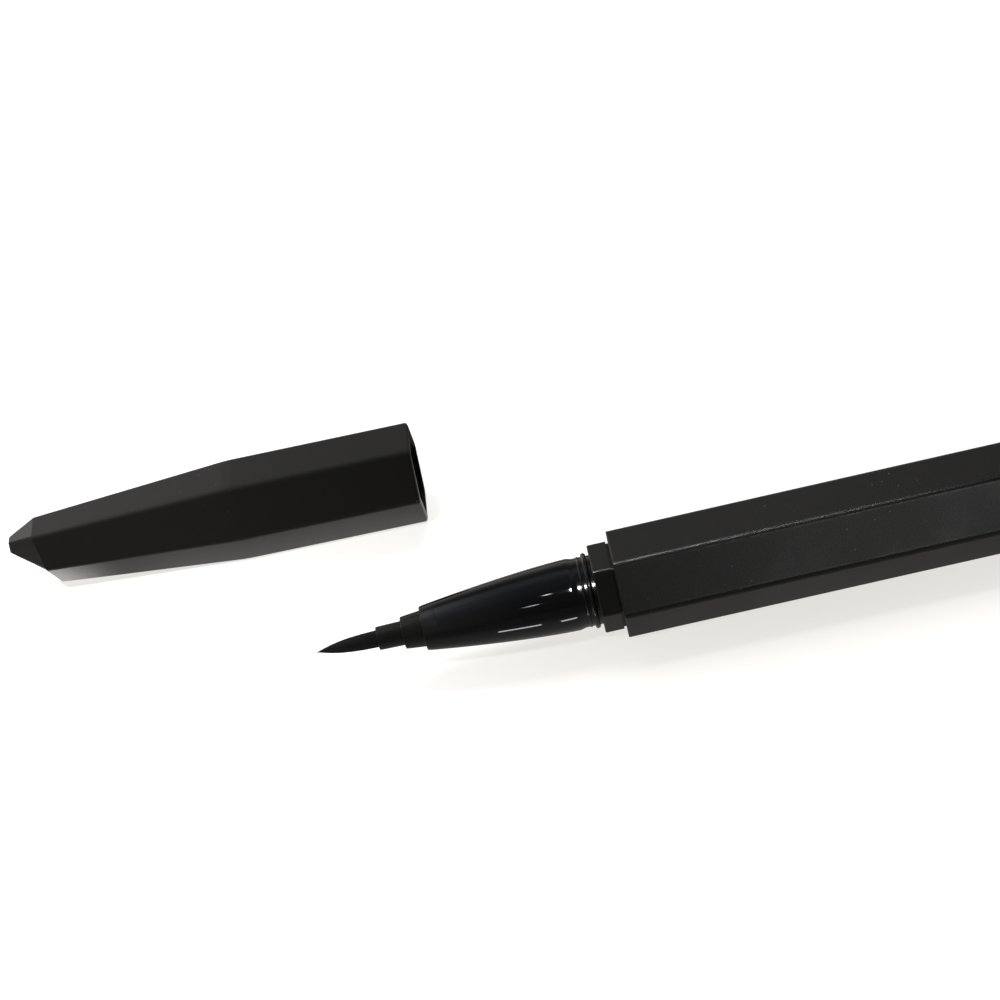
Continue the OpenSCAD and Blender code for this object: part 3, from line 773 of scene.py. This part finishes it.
def seal_rubber():
    material, tree, shader = new_material("seal_rubber")
    place = object_place(tree)
    skin = use_group(tree, MOULDED_SKIN, place,
                     Grain_Scale=6500.0, Patch_Scale=500.0, Smooth=0.62, Rough=0.80)
    tone = remap(tree, noise(tree, place, size_mm=0.8, detail=3.0), 0.35, 0.65)
    join(tree, mix_colour(tree, tone, *RUBBER_TONES), shader.inputs["Base Color"])
    join(tree, skin["Roughness"], shader.inputs["Roughness"])
    bump(tree, shader, skin["Height"], depth_mm=0.02, strength=0.5)
    return material


def bright_steel(name, line_scale, stretch, smooth, rough):
    material, tree, shader = new_material(name, Metallic=1.0)
    lines = use_group(tree, LONG_LINES, object_place(tree), Line_Scale=line_scale, Stretch=stretch)
    share = remap(tree, lines["Lines"], 0.35, 0.65)
    join(tree, mix_colour(tree, share, *STEEL_TONES), shader.inputs["Base Color"])
    join(tree, remap(tree, lines["Lines"], 0.3, 0.7, smooth, rough), shader.inputs["Roughness"])
    bump(tree, shader, lines["Lines"], depth_mm=0.004, strength=0.3)
    return material


# %% [markdown]
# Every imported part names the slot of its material, so one table of finishes dresses them
# all. Collar and cap have the barrel's plastic too, but need a satin that knows their own
# width and turn.

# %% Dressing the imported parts
FINISHES = {
    "satin_black_plastic": barrel_satin,
    "gloss_black_plastic": cone_gloss,
    "nib_sleeve_plastic": sleeve_plastic,
    "brush_filament": inked_filament,
    "feed_fibre": felt_fibre(),
    "collector_plastic": natural_plastic("collector_plastic", COLLECTOR_TONES,
                                         transmission=0.0, smooth=0.35, rough=0.5),
    "tank_plastic": natural_plastic("tank_plastic", TANK_TONES,
                                    transmission=0.55, smooth=0.27, rough=0.33),
    "seal_rubber": seal_rubber(),
    "ball_steel": bright_steel("ball_steel", line_scale=3000.0, stretch=1.0,
                               smooth=0.06, rough=0.14),
    "spring_steel": bright_steel("spring_steel", line_scale=9000.0, stretch=0.2,
                                 smooth=0.20, rough=0.34),
}
OWN_FINISH = {"cap_seat_collar": collar_satin, "cap_shell": cap_satin, "cap_retainer": cap_satin}


def dress_packed_parts():
    """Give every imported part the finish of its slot; only the material changes."""
    for part in frame["record"]["subparts"]:
        node = frame["nodes"][part["node"]]
        finish = OWN_FINISH.get(part["node"], FINISHES[part["material_slot"]])
        node.data.materials.clear()
        node.data.materials.append(finish)
        print("  %-18s %s" % (part["node"], finish.name))


dress_packed_parts()
ON_BARREL.objects.link(frame["nodes"]["barrel"])
ON_RIDGES.objects.link(frame["nodes"]["barrel"])
ON_RIDGES.objects.link(frame["nodes"]["cap_seat_collar"])

# %% [markdown]
# Round parts of the nose are turned: a ring is added at the front edge, then pulled
# along the outline ring by ring, out over the surface and back through the bore, as a
# potter pulls a wall. Extrude makes the next ring, and resize gives it its radius. The
# last ring meets the first, so the wall is closed.

# %% Helpers: selecting and turning
TURNED_CREASE = math.radians(38)
SAME_POINT = 0.001 * MM


def only(piece):
    """Select one object alone and make it active."""
    bpy.ops.object.select_all(action="DESELECT")
    piece.select_set(True)
    bpy.context.view_layer.objects.active = piece


def settle(piece):
    """Put an object's place and turn into its mesh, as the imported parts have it."""
    only(piece)
    bpy.ops.object.transform_apply(location=True, rotation=True, scale=True)


def turned(name, outline, sides):
    """Closed wall of revolution round the pen's axis. outline: (u, radius) in millimetres."""
    u, radius = outline[0]
    bpy.ops.mesh.primitive_circle_add(vertices=sides, radius=radius * MM, location=along_pen(u),
                                      rotation=(0, math.pi / 2, 0))
    piece = bpy.context.object
    piece.name = name
    only(piece)
    bpy.ops.object.mode_set(mode="EDIT")
    bpy.ops.mesh.select_all(action="SELECT")
    for next_u, next_radius in outline[1:] + outline[:1]:
        pull = ((next_u - u) * MM, 0, 0)
        bpy.ops.mesh.extrude_edges_move(TRANSFORM_OT_translate={"value": pull})
        grow = next_radius / radius
        bpy.ops.transform.resize(value=(1, grow, grow), center_override=along_pen(next_u))
        u, radius = next_u, next_radius
    bpy.ops.mesh.select_all(action="SELECT")
    bpy.ops.mesh.remove_doubles(threshold=SAME_POINT)
    bpy.ops.mesh.normals_make_consistent(inside=False)
    bpy.ops.object.mode_set(mode="OBJECT")
    settle(piece)
    bpy.ops.object.shade_smooth_by_angle(angle=TURNED_CREASE)
    return piece


def finish_piece(piece, body, replaced, material):
    piece.data.materials.clear()
    piece.data.materials.append(material)
    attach(piece, body)
    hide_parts(replaced)
    piece.data.calc_loop_triangles()
    print("%s: %d triangles" % (piece.name, len(piece.data.loop_triangles)))


def rounded_corner(centre_u, centre_r, radius, start, stop, steps=6):
    """Arc of an outline, angles in degrees from the +u direction towards larger radii."""
    points = []
    for step in range(steps + 1):
        angle = math.radians(start + (stop - start) * step / steps)
        points.append((centre_u + radius * math.cos(angle), centre_r + radius * math.sin(angle)))
    return points


# %% [markdown]
# The front section is the shiny cone. Its outline is one formula for the bulging cone
# and a few arcs: a round front edge, a fine groove behind the satin lip, the soft
# shoulder, a bead in the saddle and the thin raised ring against the collar. Behind the
# collar it runs on as the spigot with its seal groove, and the bore leads back.

# %% Front section: its sizes
NOSE = 20.6
CONE_TIP_R, CONE_MAX_R, CONE_BULGE = 2.33, 3.78, 1.5
NECK = 2.25
RING_ZONE = 2.5
HOLDER_R = 1.90
SPIGOT_R, SPIGOT_END, SPIGOT_BORE_R = 3.30, 11.5, 2.55
HOLDER_SEAT = -NOSE + 7.95
SEAL_U, SEAL_HALF, SEAL_R = 3.2, 0.23, 2.89
SHOULDER_U = -NECK - RING_ZONE
LIP_U = -NOSE + 1.6
LIP_EDGE, BORE_GAP = 0.14, 0.05
GROOVE_STEP, GROOVE_DROP, GROOVE_RISE = 0.05, 0.003, 0.005
SPIGOT_CHAMFER = 0.3
CONE_RINGS, SADDLE_RINGS = 44, 84
BEAD_PLACE, BEAD_CENTRE_R, BEAD_RIB_R = 0.50, 3.60, 0.13
RING_PLACE, RING_CENTRE_R, RING_RIB_R = 0.765, 3.71, 0.27
SADDLE_RUN, SADDLE_DEPTH = 0.75, 0.135


def cone_radius(u):
    share = (u + NOSE) / (SHOULDER_U + NOSE)
    return CONE_TIP_R + (CONE_MAX_R - CONE_TIP_R) * (1 - (1 - share) ** CONE_BULGE)


def bulge(u, centre_u, centre_r, radius, base):
    """Height of a round rib over the base radius."""
    reach = radius * radius - (u - centre_u) ** 2
    return max(base, centre_r + math.sqrt(reach)) if reach > 0 else base


def saddle_radius(u):
    """From the cone's shoulder over the saddle with its bead to the raised ring."""
    share = min(max((u - SHOULDER_U) / SADDLE_RUN, 0), 1)
    base = CONE_MAX_R - SADDLE_DEPTH * share * share * (3 - 2 * share)
    base = bulge(u, SHOULDER_U + BEAD_PLACE * RING_ZONE, BEAD_CENTRE_R, BEAD_RIB_R, base)
    return bulge(u, SHOULDER_U + RING_PLACE * RING_ZONE, RING_CENTRE_R, RING_RIB_R, base)


# %% Front section: turning it
def front_outline():
    outline = [(-NOSE, HOLDER_R + BORE_GAP)]
    outline += rounded_corner(-NOSE + LIP_EDGE, CONE_TIP_R - LIP_EDGE, LIP_EDGE, 180, 90)
    outline += [(u, cone_radius(u)) for u in (-NOSE + 0.6, LIP_U - 0.12, LIP_U - GROOVE_STEP)]
    outline.append((LIP_U, cone_radius(LIP_U) - GROOVE_DROP))
    outline.append((LIP_U + GROOVE_STEP, cone_radius(LIP_U) + GROOVE_RISE))
    for step in range(1, CONE_RINGS):
        u = LIP_U + GROOVE_STEP + (SHOULDER_U - LIP_U - GROOVE_STEP) * step / CONE_RINGS
        outline.append((u, cone_radius(u)))
    for step in range(SADDLE_RINGS + 1):
        u = SHOULDER_U + RING_ZONE * step / SADDLE_RINGS
        outline.append((u, saddle_radius(u)))
    outline += [(-NECK, SPIGOT_R), (SEAL_U - SEAL_HALF, SPIGOT_R), (SEAL_U - SEAL_HALF, SEAL_R)]
    outline += [(SEAL_U + SEAL_HALF, SEAL_R), (SEAL_U + SEAL_HALF, SPIGOT_R)]
    outline.append((SPIGOT_END - SPIGOT_CHAMFER, SPIGOT_R))
    outline.append((SPIGOT_END, SPIGOT_R - SPIGOT_CHAMFER))
    outline += [(SPIGOT_END, SPIGOT_BORE_R), (HOLDER_SEAT, SPIGOT_BORE_R)]
    outline += [(HOLDER_SEAT, HOLDER_R + BORE_GAP)]
    return outline


gloss_cone = turned("gloss_cone", front_outline(), sides=128)
ON_GLOSS.objects.link(gloss_cone)
finish_piece(gloss_cone, "pen", "front_section", cone_gloss)

# %% [markdown]
# Holder and sleeve step down to the brush. Both are slightly conical, so that the mould
# lets them go, and their front edges are round.

# %% Nib holder and nib sleeve
HOLDER_OUT, HOLDER_TIP_R = 2.15, 1.70
SLEEVE_OUT, SLEEVE_R, SLEEVE_TIP_R = 2.70, 1.28, 1.232
HOLDER_TIP = -NOSE - HOLDER_OUT
SLEEVE_TIP = HOLDER_TIP - SLEEVE_OUT
SLEEVE_SEAT = HOLDER_TIP + 5.6
NIB_R = 0.90
CORE_BORE_R = 0.55
FLANGE = 0.6
FLANGE_R = SPIGOT_BORE_R - 0.05
STEP_EDGE, STEP_GAP = 0.12, 0.025


def holder_outline():
    outline = [(HOLDER_TIP, SLEEVE_R + STEP_GAP)]
    outline += rounded_corner(HOLDER_TIP + STEP_EDGE, HOLDER_TIP_R - STEP_EDGE,
                              STEP_EDGE, 180, 90)
    outline += [(-NOSE - 0.1, HOLDER_R), (HOLDER_SEAT, HOLDER_R), (HOLDER_SEAT, FLANGE_R)]
    outline += [(HOLDER_SEAT + FLANGE, FLANGE_R), (HOLDER_SEAT + FLANGE, CORE_BORE_R)]
    outline += [(SLEEVE_SEAT, CORE_BORE_R), (SLEEVE_SEAT, SLEEVE_R + STEP_GAP)]
    return outline


def sleeve_outline():
    outline = [(SLEEVE_TIP, NIB_R + STEP_GAP)]
    outline += rounded_corner(SLEEVE_TIP + STEP_EDGE, SLEEVE_TIP_R - STEP_EDGE,
                              STEP_EDGE, 180, 90)
    outline += [(HOLDER_TIP, SLEEVE_R), (SLEEVE_SEAT, SLEEVE_R), (SLEEVE_SEAT, NIB_R + STEP_GAP)]
    return outline


holder = turned("holder_skin", holder_outline(), sides=96)
finish_piece(holder, "pen", "nib_holder", sleeve_plastic)
sleeve = turned("sleeve_skin", sleeve_outline(), sides=96)
finish_piece(sleeve, "pen", "nib_sleeve", sleeve_plastic)

# %% [markdown]
# The brush is a bundle of tapered filaments, as on a real brush pen. One filament is
# pulled from a five-sided ring and copied over circles of 6, 12, 18 and more, all still
# straight. Then the whole bundle is shaped at once: each level is selected by its place
# along the pen and drawn together towards the axis, which thins the filaments just as
# much, so they meet in one point without running into each other.

# %% Brush: one filament
NIB_OUT = 6.45
BRUSH_ROOT = SLEEVE_TIP + 6.4
CIRCLES = 11
STRAND_R, STRAND_SIDES = 0.038, 5
LEVEL_SHARES = (0.0, 0.25, 0.45, 0.62, 0.76, 0.88, 0.96, 1.0)


def level_u(share):
    return SLEEVE_TIP - NIB_OUT * share


def one_filament():
    levels = [BRUSH_ROOT] + [level_u(share) for share in LEVEL_SHARES]
    bpy.ops.mesh.primitive_circle_add(
        vertices=STRAND_SIDES, radius=STRAND_R * MM, fill_type="NGON",
        location=along_pen(BRUSH_ROOT), rotation=(0, math.pi / 2, 0))
    strand = bpy.context.object
    strand.name = "filament"
    only(strand)
    bpy.ops.object.mode_set(mode="EDIT")
    bpy.ops.mesh.select_all(action="SELECT")
    for start, stop in zip(levels, levels[1:]):
        pull = ((stop - start) * MM, 0, 0)
        bpy.ops.mesh.extrude_region_move(TRANSFORM_OT_translate={"value": pull})
    bpy.ops.mesh.select_all(action="SELECT")
    bpy.ops.mesh.normals_make_consistent(inside=False)
    bpy.ops.object.mode_set(mode="OBJECT")
    settle(strand)
    return strand


first_strand = one_filament()
print("one filament: %d faces" % len(first_strand.data.polygons))

# %% Brush: the bundle
def copy_strands(strand):
    """Copies of the middle filament on circles round it, joined with it to one bundle."""
    copies = [strand]
    pitch = (NIB_R - STRAND_R) / CIRCLES
    for circle in range(1, CIRCLES + 1):
        for place in range(6 * circle):
            angle = 2 * math.pi * (place + 0.5 * (circle % 2)) / (6 * circle)
            copy = bpy.data.objects.new("filament", strand.data.copy())
            bpy.context.scene.collection.objects.link(copy)
            copy.location = Vector((0, math.cos(angle), math.sin(angle))) * pitch * circle * MM
            copies.append(copy)
    only(strand)
    for copy in copies:
        copy.select_set(True)
    bpy.ops.object.join()
    settle(strand)
    return len(copies)


strand_count = copy_strands(first_strand)
print("filaments in the bundle:", strand_count)

# %% Brush: drawing it to a point
SMALLEST_SHARE = 0.035
STRAY = 0.004
NEAR_LEVEL = 0.005


def outline_share(share):
    """Radius of the brush at a share of its free length, over its radius at the sleeve."""
    return (1 - share ** 3) * (1 - 0.15 * share)


def select_level(piece, u):
    """Select the points that lie at u on the pen, in edit mode."""
    bpy.ops.mesh.select_all(action="DESELECT")
    bpy.ops.object.mode_set(mode="OBJECT")
    x = along_pen(u).x
    for point in piece.data.vertices:
        point.select = abs(point.co.x - x) < NEAR_LEVEL * MM
    bpy.ops.object.mode_set(mode="EDIT")


def draw_to_point(bundle):
    only(bundle)
    bpy.ops.object.mode_set(mode="EDIT")
    bpy.ops.mesh.select_mode(type="VERT")
    for share in LEVEL_SHARES[1:]:
        select_level(bundle, level_u(share))
        size = max(outline_share(share), SMALLEST_SHARE)
        bpy.ops.transform.resize(value=(1, size, size), center_override=along_pen(level_u(share)))
        if share < 1:
            bpy.ops.transform.vertex_random(offset=STRAY * MM, uniform=1.0, seed=int(100 * share))
    bpy.ops.object.mode_set(mode="OBJECT")
    bpy.ops.object.shade_smooth_by_angle(angle=math.radians(80))


draw_to_point(first_strand)
first_strand.name = "brush_bundle"
finish_piece(first_strand, "pen", "brush_nib", inked_filament)

# %% [markdown]
# The spring inside the cap pushes the inner cap onto the cone. A small ring of wire is
# swept by a Screw modifier, which turns and shifts it at once, and the ends are closed.
# When the cap is pushed home the spring shortens.

# %% Spring
WIRE_R, SPRING_R, SPRING_CURLS = 0.20, 2.95, 6
SPRING_FROM, SPRING_TO = 22.25, 30.45
WIRE_SIDES, CURL_STEPS = 14, 40


def wire_spring():
    bpy.ops.mesh.primitive_circle_add(
        vertices=WIRE_SIDES, radius=WIRE_R * MM, fill_type="NOTHING",
        location=(SPRING_R * MM, 0, 0), rotation=(math.pi / 2, 0, 0))
    spring = bpy.context.object
    spring.name = "spring_coil"
    settle(spring)
    screw = spring.modifiers.new("coil", "SCREW")
    screw.axis = "Z"
    screw.steps = CURL_STEPS
    screw.render_steps = CURL_STEPS
    screw.iterations = SPRING_CURLS
    screw.screw_offset = (SPRING_TO - SPRING_FROM) / SPRING_CURLS * MM
    bpy.ops.object.modifier_apply(modifier=screw.name)
    bpy.ops.object.mode_set(mode="EDIT")
    bpy.ops.mesh.select_all(action="SELECT")
    bpy.ops.mesh.remove_doubles(threshold=SAME_POINT)
    bpy.ops.mesh.select_all(action="DESELECT")
    bpy.ops.mesh.select_non_manifold()
    bpy.ops.mesh.edge_face_add()
    bpy.ops.mesh.select_all(action="SELECT")
    bpy.ops.mesh.normals_make_consistent(inside=False)
    bpy.ops.object.mode_set(mode="OBJECT")
    return spring


def place_spring(spring):
    """Lay the coil, made upright at the origin, onto the cap's axis."""
    turn = CAP_AXIS.to_track_quat("Z", "Y").to_matrix().to_4x4()
    spring.matrix_world = Matrix.Translation(along_cap(SPRING_FROM)) @ turn
    settle(spring)
    bpy.ops.object.shade_smooth_by_angle(angle=math.radians(50))


coil = wire_spring()
place_spring(coil)
finish_piece(coil, "cap", "cap_spring", FINISHES["spring_steel"])
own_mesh(coil)
